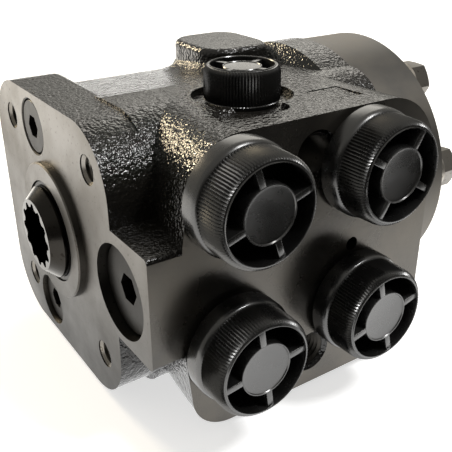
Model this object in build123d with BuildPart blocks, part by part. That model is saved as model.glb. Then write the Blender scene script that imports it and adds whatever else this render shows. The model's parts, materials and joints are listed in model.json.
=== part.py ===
"""Load-sensing orbital steering unit, modelled piece by piece.

Frame: the origin is the centre of the front mounting face, on the input axis. +X runs along the
input axis towards the gear set, -Y points out of the port face and +Z points up. Millimetres.
"""
from build123d import *
import math
import os

os.makedirs("parts", exist_ok=True)

# ---------------------------------------------------------------- driving dimensions
# Housing outline
housing_length = 98.5
flange_left = -40.5
flange_right = 44.5
flange_top = 41.0
flange_bottom = -44.0
flange_corner = 19.0
flange_depth = 18.0
flange_back_round = 3.0
body_front = 14.0
body_side = 43.5
body_outer_top = 34.8
body_inner = -38.5
body_corner = 17.0
port_face = -60.3
port_inner = -10.0
port_inner_top = 41.7
port_rear_gap = 1.0
port_top = 43.0
port_bottom = -43.2
port_front_step = 9.8
port_front_top = 13.6
port_front_low = 12.8
port_front_setback = 7.0
port_top_front_corner = 15.0
port_top_rear_corner = 21.0
port_low_front_corner = 13.0
port_low_rear_corner = 12.0
nose_top = 16.4
nose_bottom = -16.4
nose_depth = 16.0
nose_corner = 1.5
rear_flange_r = 46.8
rear_flange_depth = 12.0
rear_flange_neck_r = 40.0
rear_flange_slope = 6.0
boss_front = 58.5
boss_rear = 85.0
boss_near = 1.0
boss_far = 31.0
boss_top = 47.2
boss_foot = 30.0
boss_corner = 9.0
boss_round = 2.2
boss_toe = 5.0
boss_toe_steps = 4
boss_toe_inset = 0.5
dimple_place = (40.0, -46.5)
dimple_length = 23.0
dimple_width = 11.0
dimple_depth = 1.6
dimple_taper_deg = 30.0
pad_place = (69.2, -46.2)
pad_side = 11.6
pad_depth = 0.7

# Input end
pilot_height = 2.2
pilot_r = 21.6
pilot_chamfer = 0.4
seal_width = 1.7
seal_bore_depth = 6.2
shaft_land_gap = 0.3
sleeve_wall = 4.6
main_bore_front = 9.0
running_gap = 0.03
dust_seal_front = -1.7
dust_seal_length = 2.8
dust_seal_round = 0.4
shaft_seal_front = 2.6
seal_fit_gap = 0.05

# Thrust bearing
race_thickness = 1.5
race_bore_gap = 0.3
needle_r = 1.0
needle_length = 2.6
needle_count = 20
needle_gap = 0.05
cage_thickness = 1.2

# Rotary valve
spool_r = 14.4
spool_front = -6.7
spool_nose_chamfer = 3.2
spool_nose_length = 3.4
spool_end_gap = 5.0
spline_teeth = 12
spline_root_r = 10.3
spline_tip_r = 8.9
spline_length = 22.0
spool_wall = 2.5
spool_bore_front = 28.0
spool_bore_cone = 4.0
sleeve_rear_gap = 0.2
spring_slot_x = 22.0
spring_slot_width = 5.4
spring_slot_height = 4.6
spring_end_inset = 1.2
spring_width = 5.0
flat_spring_thickness = 0.6
curved_spring_thickness = 0.45
curved_spring_bow = 0.5
spring_ring_thickness = 0.9
spring_ring_width = 7.0
pin_x = 36.0
pin_r = 4.25
pin_end_inset = 0.6
pin_fit_gap = 0.02
twist_limit_deg = 8.0
twist_spare = 0.3
meter_hole_r = 1.8
meter_hole_count = 6
meter_slot_width = 3.0
meter_slot_depth = 1.1
meter_slot_front = 44.0
meter_slot_length = 34.0
groove_places = (47.0, 56.0, 65.0, 74.0)
groove_width = 5.0
groove_depth = 2.5

# Gear set
stack_r = 46.0
plate_thickness = 6.0
gear_width = 10.4
cover_thickness = 10.0
cover_chamfer = 2.0
lobe_count = 7
lobe_circle_r = 34.8
lobe_r = 7.5
eccentricity = 3.2
gear_gap = 0.08
ring_bore_r = 33.87
rotor_points = 14
rotor_side_gap = 0.03
first_lobe_deg = 173.7
orbit_rest_deg = -90.0
rotor_spline_tip_r = 9.2
rotor_spline_root_r = 10.8
plate_bore_r = 14.2
feed_hole_r = 2.4
feed_circle_r = 31.0
feed_depth = 11.0
oring_circle_r = 42.9
oring_section_r = 0.75
oring_groove_width = 2.0

# Cover screws
screw_circle_r = 37.0
screw_r = 4.0
screw_hole_gap = 0.3
thread_gap = 0.05
screw_grip = 16.0
screw_hole_spare = 2.0
screw_head_flats = 13.0
screw_head_height = 7.0
screw_head_chamfer = 0.6
screw_point_chamfer = 0.8
guide_pin_r = 2.0
guide_pin_length = 5.0
washer_r = 7.4
washer_thickness = 1.5

# Cardan shaft
fork_gap = 1.3
fork_front = -6.0
fork_rear = 7.5
fork_slot_gap = 0.55
fork_slot_length = 36.0
neck_r = 6.6
cardan_taper = 5.0
cardan_head_r = 10.25
cardan_head_root_r = 8.75
cardan_head_inset = 1.6
spacer_r = 8.7
spacer_thickness = 2.2
spacer_gap = 0.4

# Ports and their transit caps
port_columns = (24.7, 67.4)
port_rows = (27.7, -16.1)
port_r = 8.75
port_depth = 15.0
port_mouth_r = 10.2
port_mouth_depth = 1.4
port_thread_gap = 0.05
passage_r = 3.6
cap_r = 15.5
cap_waist_r = 14.3
cap_rim_r = 13.4
cap_window_r = 12.6
cap_hub_r = 7.8
cap_height = 15.8
cap_floor = 4.2
cap_band_low = 6.8
cap_band_high = 8.0
cap_bevel = 1.8
cap_hub_drop = 0.5
cap_spoke_width = 2.2
cap_spoke_overlap = 2.0
cap_spokes = 4
cap_ribs = 72
cap_rib_depth = 0.45
cap_shank_turns = 7
cap_thread_pitch = 1.5875
cap_seal_thickness = 1.2
cap_seal_r = 13.2
cap_turns_deg = (18.0, -31.0, 8.0, 14.0)

sensing_place = (48.0, -31.0)
sensing_recess_r = 14.7
sensing_recess_depth = 3.0
sensing_port_r = 4.95
sensing_port_depth = 12.0
sensing_passage_depth = 10.0
sensing_passage_r = 2.2
sensing_cap_r = 11.0
sensing_cap_rim_r = 10.4
sensing_window_r = 9.0
sensing_hub_r = 5.6
sensing_cap_height = 11.0
sensing_floor = 4.0
sensing_spoke_width = 1.8
sensing_ribs = 64
sensing_shank_turns = 7
sensing_thread_pitch = 1.27
sensing_seal_thickness = 1.0
sensing_seal_r = 9.4

# Threaded holes
mount_square = 58.4
mount_hole_r = 4.25
mount_hole_depth = 18.0
valve_hole_places = ((51.5, 32.1), (53.2, -31.5))
valve_hole_r = 5.6
valve_hole_chamfer = 1.2
valve_hole_depth = 16.0
small_hole_place = (66.9, 1.3)
small_hole_r = 2.1
small_hole_depth = 7.0

# Relief valve in the nose
relief_y = -43.3
relief_z = -0.7
relief_recess_r = 13.6
relief_recess_depth = 2.8
relief_head_r = 13.3
relief_head_height = 4.0
relief_seal_thickness = 1.2
relief_seal_r = 12.8
relief_thread_r = 9.5
relief_thread_length = 6.8
relief_hex = 8.0
relief_hex_depth = 5.0
relief_bore_r = 5.5
relief_pocket_r = 4.6
relief_pocket_depth = 5.0
relief_seat_front = 40.0
relief_seat_length = 4.0
relief_seat_hole_r = 2.4
relief_poppet_r = 5.3
relief_poppet_length = 5.0
relief_cone_r = 3.3
relief_spring_r = 3.4
relief_spring_pitch = 3.1
relief_outlet = 56.0
spring_wire_r = 0.55
spring_end_gap = 0.05

# Shock valves in the flange: (y, z, depth of the plug below the face)
shock_places = ((10.6, 30.3, 0.3), (13.7, -32.6, 1.6))
shock_plug_r = 8.5
shock_plug_length = 9.0
shock_recess_r = 8.9
shock_thread_gap = 0.05
shock_hex = 6.5
shock_hex_depth = 5.0
shock_bore_r = 4.6
shock_seat_x = 34.0
shock_seat_hole_r = 2.4
shock_outlet_depth = 6.0
shock_ball_r = 3.5
shock_spring_r = 3.0
shock_spring_pitch = 2.9
ball_seat_gap = 0.05

# Check valve below the lower rear port
stop_r = 5.6
stop_length = 5.0
stop_hole_r = 3.0
check_ball_r = 4.0
check_chamber_r = 4.5
check_lift = 1.5
check_outlet_r = 2.9
passage_start_inset = 1.0

# ---------------------------------------------------------------- values worked out
main_bore_r = spool_r + sleeve_wall
seal_bore_r = spool_r + seal_width
shaft_land_r = spool_r + shaft_land_gap
groove_r = main_bore_r + groove_depth
spool_bore_r = spool_r - spool_wall
spool_nose_r = spool_r - spool_nose_chamfer
fork_r = spool_bore_r - fork_gap
spring_length = 2 * (main_bore_r - spring_end_inset)
pin_length = 2 * (main_bore_r - pin_end_inset)
base_z = -rear_flange_r
port_rear = housing_length - port_rear_gap
plate_x = housing_length
ring_x = plate_x + plate_thickness
cover_x = ring_x + gear_width
stack_end = cover_x + cover_thickness
rotor_x = ring_x + rotor_side_gap
rotor_width = gear_width - 2 * rotor_side_gap
lobe_step_deg = 360 / lobe_count
rotor_lobes = lobe_count - 1
sleeve_front = main_bore_front + 2 * race_thickness + 2 * needle_r
sleeve_rear = housing_length - sleeve_rear_gap
sleeve_r = main_bore_r - running_gap
sleeve_bore_r = spool_r + running_gap
spool_rear = sleeve_rear - spool_end_gap
spool_pin_hole_r = pin_r + twist_spare + spool_r * math.sin(math.radians(twist_limit_deg))
orbit = math.radians(orbit_rest_deg)
rotor_centre = (rotor_x, eccentricity * math.cos(orbit), eccentricity * math.sin(orbit))
main_axis = Plane(origin=(0, 0, 0), x_dir=(1, 0, 0), z_dir=(0, 0, 1))
rotor_axis = Plane(origin=rotor_centre, x_dir=(1, 0, 0), z_dir=(0, 0, 1))
port_places = [(x, z) for z in port_rows for x in port_columns]
check_place = (port_columns[1], port_rows[1])
cap_shank_length = cap_shank_turns * cap_thread_pitch
sensing_seat_z = port_top - sensing_recess_depth
sensing_shank_length = sensing_shank_turns * sensing_thread_pitch


# ---------------------------------------------------------------- helpers
def turned(outline, plane, mode=Mode.ADD):
    """Revolve (distance along the axis, radius) points about the plane's own X axis."""
    with BuildSketch(plane) as profile:
        with BuildLine():
            Polyline(*outline, close=True)
        make_face()
    revolve(profile.sketch, axis=Axis(plane.origin, plane.x_dir), mode=mode)


def cylinder_from(plane, start, end, radius, mode=Mode.ADD):
    """A plain turned length of one radius."""
    turned([(start, 0), (start, radius), (end, radius), (end, 0)], plane, mode)


def ring_from(plane, start, end, inner_r, outer_r):
    """A plain turned ring."""
    turned([(start, inner_r), (start, outer_r), (end, outer_r), (end, inner_r)], plane)


def axis_plane(point, direction):
    """Plane whose X axis points along a direction, for turned features on that line."""
    along = Vector(*direction).normalized()
    across = Vector(0, 0, 1) if abs(along.Z) < 0.9 else Vector(0, 1, 0)
    return Plane(origin=point, x_dir=along, z_dir=across - along * across.dot(along))


def port_plane(place):
    return axis_plane((place[0], port_face, place[1]), (0, -1, 0))


def toothed_outline(teeth, root_r, tip_r, root_share=0.3, tip_share=0.25, turn_deg=0.0):
    """Points of a straight-flanked tooth ring, one set of four per tooth."""
    points = []
    for tooth in range(teeth):
        for share, radius in ((-0.5 + root_share / 2, root_r), (-tip_share / 2, tip_r),
                              (tip_share / 2, tip_r), (0.5 - root_share / 2, root_r)):
            angle = math.radians(turn_deg) + (tooth + share) * 2 * math.pi / teeth
            points.append((radius * math.cos(angle), radius * math.sin(angle)))
    return points


def ribbed_outline(ribs, tip_r, depth):
    """Points of a knurled edge: a shallow saw-tooth ring."""
    points = []
    for step in range(2 * ribs):
        radius = tip_r if step % 2 == 0 else tip_r - depth
        angle = step * math.pi / ribs
        points.append((radius * math.cos(angle), radius * math.sin(angle)))
    return points


def rotor_outline():
    """Points of the rotor that rolls inside the round lobes of the gear ring."""
    first = math.radians(first_lobe_deg)
    orbit_from_lobe = orbit - first
    points = []
    for step in range(rotor_lobes * rotor_points):
        roll = step * 2 * math.pi / rotor_points
        pole = complex(math.cos(roll), math.sin(roll))
        to_lobe = lobe_count * eccentricity * pole - lobe_circle_r
        touch = lobe_circle_r + (lobe_r + gear_gap) * to_lobe / abs(to_lobe)
        turn = roll / rotor_lobes + first - orbit_from_lobe / rotor_lobes
        point = (touch - eccentricity * pole) * complex(math.cos(turn), math.sin(turn))
        points.append((point.real, point.imag))
    return points


def coil(plane, start, end, radius, pitch):
    """A compression spring along the plane's X axis."""
    base = plane.origin + plane.x_dir * (start + spring_wire_r)
    height = end - start - 2 * spring_wire_r
    helix = Helix(pitch=pitch, height=height, radius=radius, center=base, direction=plane.x_dir,
                  mode=Mode.PRIVATE)
    with BuildPart() as spring:
        with BuildLine():
            add(helix)
        with BuildSketch(Plane(origin=helix @ 0, z_dir=helix % 0)):
            Circle(spring_wire_r)
        sweep(is_frenet=True)
    return spring.part


def screw_holes(plane_x, depth, radius):
    """Cut the seven screw holes from a face at plane_x."""
    with BuildSketch(Plane.YZ.offset(plane_x)) as holes:
        with PolarLocations(screw_circle_r, lobe_count, start_angle=first_lobe_deg):
            Circle(radius)
    extrude(holes.sketch, amount=depth, mode=Mode.SUBTRACT)


def feed_holes(plane_x, depth):
    """Cut the seven feed holes, which lie midway between the screws."""
    with BuildSketch(Plane.YZ.offset(plane_x)) as holes:
        with PolarLocations(feed_circle_r, lobe_count, start_angle=first_lobe_deg + lobe_step_deg / 2):
            Circle(feed_hole_r)
    extrude(holes.sketch, amount=depth, mode=Mode.SUBTRACT)


def seal_groove(plane_x):
    """Cut a face groove for an O-ring into the face that looks towards +X."""
    with BuildSketch(Plane.YZ.offset(plane_x)) as groove:
        Circle(oring_circle_r + oring_groove_width / 2)
        Circle(oring_circle_r - oring_groove_width / 2, mode=Mode.SUBTRACT)
    extrude(groove.sketch, amount=-2 * oring_section_r, mode=Mode.SUBTRACT)


def finish_piece(part, name):
    part.label = name
    export_step(part, f"parts/{name}.step")


# ---------------------------------------------------------------- casting forms
with BuildPart() as flange_form:
    with BuildSketch(Plane.YZ) as flange_sketch:
        with Locations(((flange_left + flange_right) / 2, (flange_top + flange_bottom) / 2)):
            RectangleRounded(flange_right - flange_left, flange_top - flange_bottom, flange_corner)
    extrude(amount=flange_depth)
    fillet(flange_form.faces().sort_by(Axis.X)[-1].edges(), flange_back_round)

with BuildPart() as body_form:
    with BuildSketch(Plane.YZ.offset(body_front)) as body_sketch:
        with BuildLine():
            Polyline((body_inner, port_inner_top), (port_inner, port_inner_top),
                     (body_side, body_outer_top), (body_side, base_z), (body_inner, base_z), close=True)
        make_face()
        fillet(body_sketch.vertices().group_by(Axis.X)[-1], body_corner)
        fillet(body_sketch.vertices().group_by(Axis.X)[0], body_corner)
    extrude(amount=housing_length - body_front)

with BuildPart() as port_form:
    for y, top, bottom, back in ((port_face, port_top, port_bottom, 0),
                                 (port_inner, port_inner_top, base_z, port_front_setback)):
        with BuildSketch(Plane.XZ.offset(-y)) as port_sketch:
            with BuildLine():
                Polyline((port_front_step + back, nose_top), (port_front_top + back, top),
                         (port_rear, top), (port_rear, bottom), (port_front_low + back, bottom),
                         (port_front_step + back, nose_bottom), close=True)
            make_face()
            for row, end, radius in ((-1, 0, port_top_front_corner), (-1, -1, port_top_rear_corner),
                                     (0, 0, port_low_front_corner), (0, -1, port_low_rear_corner)):
                corners = port_sketch.vertices().group_by(Axis.Y)[row].sort_by(Axis.X)
                fillet(corners[end], radius)
    loft(ruled=True)

with BuildPart() as nose_form:
    with BuildSketch(Plane.YZ) as nose_sketch:
        with Locations(((port_face + body_inner) / 2, (nose_top + nose_bottom) / 2)):
            RectangleRounded(body_inner - port_face, nose_top - nose_bottom, nose_corner)
    extrude(amount=nose_depth)

with BuildPart() as boss_form:
    with BuildSketch(Plane.XY.offset(boss_foot)):
        with Locations(((boss_front + boss_rear) / 2, (boss_near + boss_far) / 2)):
            RectangleRounded(boss_rear - boss_front, boss_far - boss_near, boss_corner)
    extrude(amount=boss_top - boss_foot)
    fillet(boss_form.faces().sort_by(Axis.Z)[-1].edges(), boss_round)

# the hollow round where that boss meets the sloping top of the body
top_slope = (body_outer_top - port_inner_top) / (body_side - port_inner)
boss_mid = (boss_near + boss_far) / 2
toe_plane = Plane(origin=((boss_front + boss_rear) / 2, boss_mid,
                          port_inner_top + top_slope * (boss_mid - port_inner)),
                  x_dir=(1, 0, 0), z_dir=(0, -top_slope, 1))
with BuildPart() as toe_form:
    for step in range(boss_toe_steps + 1):
        rise = math.radians(90 * step / boss_toe_steps)
        spread = boss_toe * (1 - math.sin(rise)) - boss_toe_inset * step / boss_toe_steps
        with BuildSketch(toe_plane.offset(boss_toe * (1 - math.cos(rise)))):
            RectangleRounded(boss_rear - boss_front + 2 * spread, boss_far - boss_near + 2 * spread,
                             boss_corner + spread)
    loft(ruled=True)

# ---------------------------------------------------------------- housing
with BuildPart() as housing:
    add(flange_form.part)
    add(body_form.part)
    add(port_form.part)
    add(nose_form.part)
    add(boss_form.part)
    add(toe_form.part)
    flange_front = housing_length - rear_flange_depth
    turned([(flange_front - rear_flange_slope, 0), (flange_front - rear_flange_slope, rear_flange_neck_r),
            (flange_front, rear_flange_r), (housing_length, rear_flange_r), (housing_length, 0)],
           main_axis)
    turned([(-pilot_height, 0), (-pilot_height, pilot_r - pilot_chamfer),
            (pilot_chamfer - pilot_height, pilot_r), (0, pilot_r), (0, 0)], main_axis)

    # main bore with its seal seat and oil grooves
    bore_outline = [(-pilot_height, 0), (-pilot_height, seal_bore_r), (seal_bore_depth, seal_bore_r),
                    (seal_bore_depth, shaft_land_r), (main_bore_front, shaft_land_r),
                    (main_bore_front, main_bore_r)]
    for place in groove_places:
        bore_outline += [(place - groove_width / 2, main_bore_r), (place - groove_width / 2, groove_r),
                         (place + groove_width / 2, groove_r), (place + groove_width / 2, main_bore_r)]
    bore_outline += [(housing_length, main_bore_r), (housing_length, 0)]
    turned(bore_outline, main_axis, Mode.SUBTRACT)

    # four screwed ports, each with a passage that ends in its own oil groove
    for place, groove in zip(port_places, (groove_places[1], groove_places[3], groove_places[0],
                                           groove_places[2])):
        plane = port_plane(place)
        turned([(0, 0), (0, port_mouth_r), (-port_mouth_depth, port_r), (-port_depth, port_r),
                (-port_depth, 0)], plane, Mode.SUBTRACT)
        if place != check_place:
            start = Vector(place[0], port_face + port_depth - passage_start_inset, place[1])
            end = Vector(groove, 0, math.copysign(groove_r - passage_r, place[1]))
            cylinder_from(axis_plane(start, end - start), 0, (end - start).length, passage_r,
                          Mode.SUBTRACT)

    # check valve chamber below the lower rear port
    check_plane = port_plane(check_place)
    stop_end = -port_depth - stop_length
    check_end = stop_end - 2 * check_ball_r - check_lift
    stop_start = passage_start_inset - port_depth
    bore_crossing = port_face + math.sqrt(main_bore_r ** 2 - check_place[1] ** 2)
    turned([(stop_start, 0), (stop_start, stop_r), (stop_end, stop_r), (stop_end, check_chamber_r),
            (check_end, check_chamber_r), (check_end, check_outlet_r),
            (bore_crossing, check_outlet_r), (bore_crossing, 0)], check_plane, Mode.SUBTRACT)

    # load-sensing port on top
    sensing_plane = axis_plane((sensing_place[0], sensing_place[1], sensing_seat_z), (0, 0, 1))
    sensing_passage_end = -sensing_port_depth - sensing_passage_depth
    turned([(2 * sensing_recess_depth, 0), (2 * sensing_recess_depth, sensing_recess_r),
            (0, sensing_recess_r), (0, sensing_port_r), (-sensing_port_depth, sensing_port_r),
            (-sensing_port_depth, sensing_passage_r), (sensing_passage_end, sensing_passage_r),
            (sensing_passage_end, 0)], sensing_plane, Mode.SUBTRACT)

    # cast hollow in front of that port, and a bare sunk pad behind it
    with BuildSketch(Plane.XY.offset(port_top)) as hollows:
        with Locations(dimple_place):
            SlotOverall(dimple_length, dimple_width)
    extrude(hollows.sketch, amount=-dimple_depth, mode=Mode.SUBTRACT, taper=dimple_taper_deg)
    with BuildSketch(Plane.XY.offset(port_top)) as pad:
        with Locations(pad_place):
            Rectangle(pad_side, pad_side)
    extrude(pad.sketch, amount=-pad_depth, mode=Mode.SUBTRACT)

    # four mounting holes in the front face
    for y in (-mount_square / 2, mount_square / 2):
        for z in (-mount_square / 2, mount_square / 2):
            cylinder_from(axis_plane((0, y, z), (1, 0, 0)), 0, mount_hole_depth, mount_hole_r,
                          Mode.SUBTRACT)

    # threaded holes in the port face
    for place in valve_hole_places:
        turned([(0, 0), (0, valve_hole_r + valve_hole_chamfer), (-valve_hole_chamfer, valve_hole_r),
                (-valve_hole_depth, valve_hole_r), (-valve_hole_depth, 0)],
               port_plane(place), Mode.SUBTRACT)
    cylinder_from(port_plane(small_hole_place), 0, -small_hole_depth, small_hole_r, Mode.SUBTRACT)

    # relief valve bore through the nose
    relief_plane = axis_plane((0, relief_y, relief_z), (1, 0, 0))
    relief_head_x = relief_recess_depth
    relief_seal_x = relief_head_x + relief_head_height
    relief_floor_x = relief_seal_x + relief_seal_thickness
    relief_thread_end = relief_floor_x + relief_thread_length
    relief_seat_end = relief_seat_front + relief_seat_length
    turned([(0, 0), (0, relief_recess_r), (relief_floor_x, relief_recess_r),
            (relief_floor_x, relief_thread_r + thread_gap),
            (relief_thread_end, relief_thread_r + thread_gap), (relief_thread_end, relief_bore_r),
            (relief_seat_end, relief_bore_r), (relief_seat_end, relief_seat_hole_r),
            (relief_outlet, relief_seat_hole_r), (relief_outlet, 0)], relief_plane, Mode.SUBTRACT)

    # shock valve bores in the flange
    for y, z, inset in shock_places:
        plug_end = inset + shock_plug_length
        thread_r = shock_plug_r + shock_thread_gap
        turned([(0, 0), (0, shock_recess_r), (inset, thread_r), (plug_end, thread_r),
                (plug_end, shock_bore_r), (shock_seat_x, shock_bore_r),
                (shock_seat_x, shock_seat_hole_r),
                (shock_seat_x + shock_outlet_depth, shock_seat_hole_r),
                (shock_seat_x + shock_outlet_depth, 0)],
               axis_plane((0, y, z), (1, 0, 0)), Mode.SUBTRACT)

    # rear face: screw holes, feed holes and the seal groove
    screw_holes(housing_length, -screw_grip - screw_hole_spare, screw_r + thread_gap)
    feed_holes(housing_length, -feed_depth)
    seal_groove(housing_length)
finish_piece(housing.part, "housing")

# ---------------------------------------------------------------- input seals
with BuildPart() as dust_seal:
    ring_from(main_axis, dust_seal_front, dust_seal_front + dust_seal_length,
              spool_r + seal_fit_gap, seal_bore_r - seal_fit_gap)
    fillet(dust_seal.edges().group_by(Axis.X)[0], dust_seal_round)
finish_piece(dust_seal.part, "dust_seal")

with BuildPart() as shaft_seal:
    ring_from(main_axis, shaft_seal_front, seal_bore_depth - seal_fit_gap,
              spool_r + seal_fit_gap, seal_bore_r - seal_fit_gap)
finish_piece(shaft_seal.part, "shaft_seal")

# ---------------------------------------------------------------- thrust bearing
race_inner_r = spool_r + race_bore_gap
race_outer_r = main_bore_r - race_bore_gap
needle_mid_r = (race_inner_r + race_outer_r) / 2
needle_x = main_bore_front + race_thickness + needle_r
for name, start in (("front_race", main_bore_front), ("rear_race", needle_x + needle_r)):
    with BuildPart() as race:
        ring_from(main_axis, start, start + race_thickness, race_inner_r, race_outer_r)
    finish_piece(race.part, name)

with BuildPart() as needle_cage:
    ring_from(main_axis, needle_x - cage_thickness / 2, needle_x + cage_thickness / 2,
              race_inner_r, race_outer_r)
    with BuildSketch(Plane.YZ.offset(needle_x - cage_thickness / 2)):
        with PolarLocations(needle_mid_r, needle_count):
            Rectangle(needle_length + 2 * needle_gap, 2 * (needle_r + needle_gap))
    extrude(amount=cage_thickness, mode=Mode.SUBTRACT)
finish_piece(needle_cage.part, "needle_cage")

with BuildPart() as bearing_needles:
    for step in range(needle_count):
        angle = 2 * math.pi * step / needle_count
        outward = (0, math.cos(angle), math.sin(angle))
        cylinder_from(axis_plane((needle_x, 0, 0), outward), needle_mid_r - needle_length / 2,
                      needle_mid_r + needle_length / 2, needle_r - needle_gap)
finish_piece(bearing_needles.part, "bearing_needles")

# ---------------------------------------------------------------- rotary valve
with BuildPart() as sleeve:
    ring_groove_front = spring_slot_x - spring_ring_width / 2
    ring_groove_rear = spring_slot_x + spring_ring_width / 2
    ring_groove_r = sleeve_r - spring_ring_thickness - running_gap
    turned([(sleeve_front, sleeve_bore_r), (sleeve_front, sleeve_r), (ring_groove_front, sleeve_r),
            (ring_groove_front, ring_groove_r), (ring_groove_rear, ring_groove_r),
            (ring_groove_rear, sleeve_r), (sleeve_rear, sleeve_r), (sleeve_rear, sleeve_bore_r)],
           main_axis)
    with BuildSketch(Plane.XY):
        with Locations((spring_slot_x, 0)):
            Rectangle(spring_slot_width, spring_slot_height)
    extrude(amount=sleeve_r, both=True, mode=Mode.SUBTRACT)
    cylinder_from(axis_plane((pin_x, 0, 0), (0, 1, 0)), -sleeve_r, sleeve_r, pin_r + pin_fit_gap,
                  Mode.SUBTRACT)
    for row, place in enumerate(groove_places):
        for step in range(meter_hole_count):
            angle = 2 * math.pi * (step + row / 2) / meter_hole_count
            cylinder_from(axis_plane((place, 0, 0), (0, math.cos(angle), math.sin(angle))),
                          spool_bore_r, main_bore_r, meter_hole_r, Mode.SUBTRACT)
finish_piece(sleeve.part, "sleeve")

with BuildPart() as spool:
    spline_end = spool_front + spline_length
    turned([(spool_front, 0), (spool_front, spool_nose_r), (spool_front + spool_nose_length, spool_r),
            (spool_rear, spool_r), (spool_rear, spool_bore_r), (spool_bore_front, spool_bore_r),
            (spool_bore_front - spool_bore_cone, 0)], main_axis)
    with BuildSketch(Plane.YZ.offset(spool_front)):
        Polygon(*toothed_outline(spline_teeth, spline_tip_r, spline_root_r), align=None)
    extrude(amount=spline_length, mode=Mode.SUBTRACT)
    with BuildSketch(Plane.XY):
        with Locations((spring_slot_x, 0)):
            Rectangle(spring_slot_width, spring_slot_height)
    extrude(amount=spool_r, both=True, mode=Mode.SUBTRACT)
    cylinder_from(axis_plane((pin_x, 0, 0), (0, 1, 0)), -spool_r, spool_r, spool_pin_hole_r,
                  Mode.SUBTRACT)
    for step in range(meter_hole_count):
        with BuildSketch(Plane.XY.rotated((360 * (step + 0.25) / meter_hole_count, 0, 0)).offset(spool_r)):
            with Locations((meter_slot_front + meter_slot_length / 2, 0)):
                SlotOverall(meter_slot_length, meter_slot_width)
        extrude(amount=-meter_slot_depth, mode=Mode.SUBTRACT)
finish_piece(spool.part, "spool")

with BuildPart() as cross_pin:
    cylinder_from(axis_plane((pin_x, 0, 0), (0, 1, 0)), -pin_length / 2, pin_length / 2, pin_r)
    chamfer(cross_pin.edges().filter_by(GeomType.CIRCLE), screw_head_chamfer)
finish_piece(cross_pin.part, "cross_pin")

with BuildPart() as spring_ring:
    ring_from(main_axis, ring_groove_front + running_gap, ring_groove_rear - running_gap,
              ring_groove_r + running_gap, sleeve_r)
finish_piece(spring_ring.part, "spring_ring")

flat_pack = 2 * flat_spring_thickness
with BuildPart() as flat_springs:
    for side in (-1, 1):
        with BuildSketch(Plane.XZ.offset(-side * flat_spring_thickness / 2)):
            with Locations((spring_slot_x, 0)):
                Rectangle(spring_width, spring_length)
        extrude(amount=flat_spring_thickness / 2 - running_gap, both=True)
finish_piece(flat_springs.part, "flat_springs")

with BuildPart() as curved_springs:
    for side in (-1, 1):
        for layer in range(2):
            inner = flat_pack / 2 + running_gap + layer * (curved_spring_thickness + running_gap)
            with BuildSketch(Plane.YZ.offset(spring_slot_x - spring_width / 2)):
                with BuildLine():
                    low = (side * inner, -spring_length / 2)
                    crown = (side * (inner + curved_spring_bow), 0)
                    high = (side * inner, spring_length / 2)
                    inside = ThreePointArc(low, crown, high)
                    outside = ThreePointArc((low[0] + side * curved_spring_thickness, low[1]),
                                            (crown[0] + side * curved_spring_thickness, 0),
                                            (high[0] + side * curved_spring_thickness, high[1]))
                    Line(inside @ 0, outside @ 0)
                    Line(inside @ 1, outside @ 1)
                make_face()
            extrude(amount=spring_width)
finish_piece(curved_springs.part, "curved_springs")

# ---------------------------------------------------------------- gear set
with BuildPart() as distributor_plate:
    ring_from(main_axis, plate_x, ring_x, plate_bore_r, stack_r)
    screw_holes(plate_x, plate_thickness, screw_r + screw_hole_gap)
    feed_holes(plate_x, plate_thickness)
    seal_groove(ring_x)
finish_piece(distributor_plate.part, "distributor_plate")

with BuildPart() as gear_ring:
    with BuildSketch(Plane.YZ.offset(ring_x)):
        Circle(stack_r)
        Circle(ring_bore_r, mode=Mode.SUBTRACT)
        with PolarLocations(lobe_circle_r, lobe_count, start_angle=first_lobe_deg):
            Circle(lobe_r)
        with PolarLocations(screw_circle_r, lobe_count, start_angle=first_lobe_deg):
            Circle(screw_r + screw_hole_gap, mode=Mode.SUBTRACT)
    extrude(amount=gear_width)
    seal_groove(cover_x)
finish_piece(gear_ring.part, "gear_ring")

with BuildPart() as rotor:
    with BuildSketch(Plane(origin=rotor_centre, x_dir=(0, 1, 0), z_dir=(1, 0, 0))):
        with BuildLine():
            Spline(*rotor_outline(), periodic=True)
        make_face()
        Polygon(*toothed_outline(spline_teeth, rotor_spline_tip_r, rotor_spline_root_r), align=None,
                mode=Mode.SUBTRACT)
    extrude(amount=rotor_width)
finish_piece(rotor.part, "rotor")

with BuildPart() as end_cover:
    cylinder_from(main_axis, cover_x, stack_end, stack_r)
    chamfer(end_cover.edges().group_by(Axis.X)[-1], cover_chamfer)
    screw_holes(cover_x, cover_thickness, screw_r + screw_hole_gap)
finish_piece(end_cover.part, "end_cover")

for name, face_x in (("housing_oring", plate_x), ("plate_oring", ring_x), ("cover_oring", cover_x)):
    with BuildPart() as oring:
        with BuildSketch(Plane.XY):
            with Locations((face_x - oring_section_r, oring_circle_r)):
                Circle(oring_section_r)
        revolve(axis=Axis.X)
    finish_piece(oring.part, name)

# ---------------------------------------------------------------- cover screws
def screw_head(plane, head_x, turn_deg):
    """A hexagon head whose outer corners are turned off."""
    corner_r = screw_head_flats / math.sqrt(3)
    head_end = head_x + screw_head_height
    with BuildPart() as head:
        with BuildSketch(Plane(origin=plane.origin + Vector(head_x, 0, 0), x_dir=(0, 1, 0),
                               z_dir=(1, 0, 0))):
            RegularPolygon(screw_head_flats / 2, 6, major_radius=False, rotation=turn_deg)
        extrude(amount=screw_head_height)
        turned([(head_x, 0), (head_x, corner_r), (head_end - screw_head_chamfer, corner_r),
                (head_end, corner_r - 2 * screw_head_chamfer), (head_end, 0)], plane, Mode.INTERSECT)
    return head.part


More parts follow.
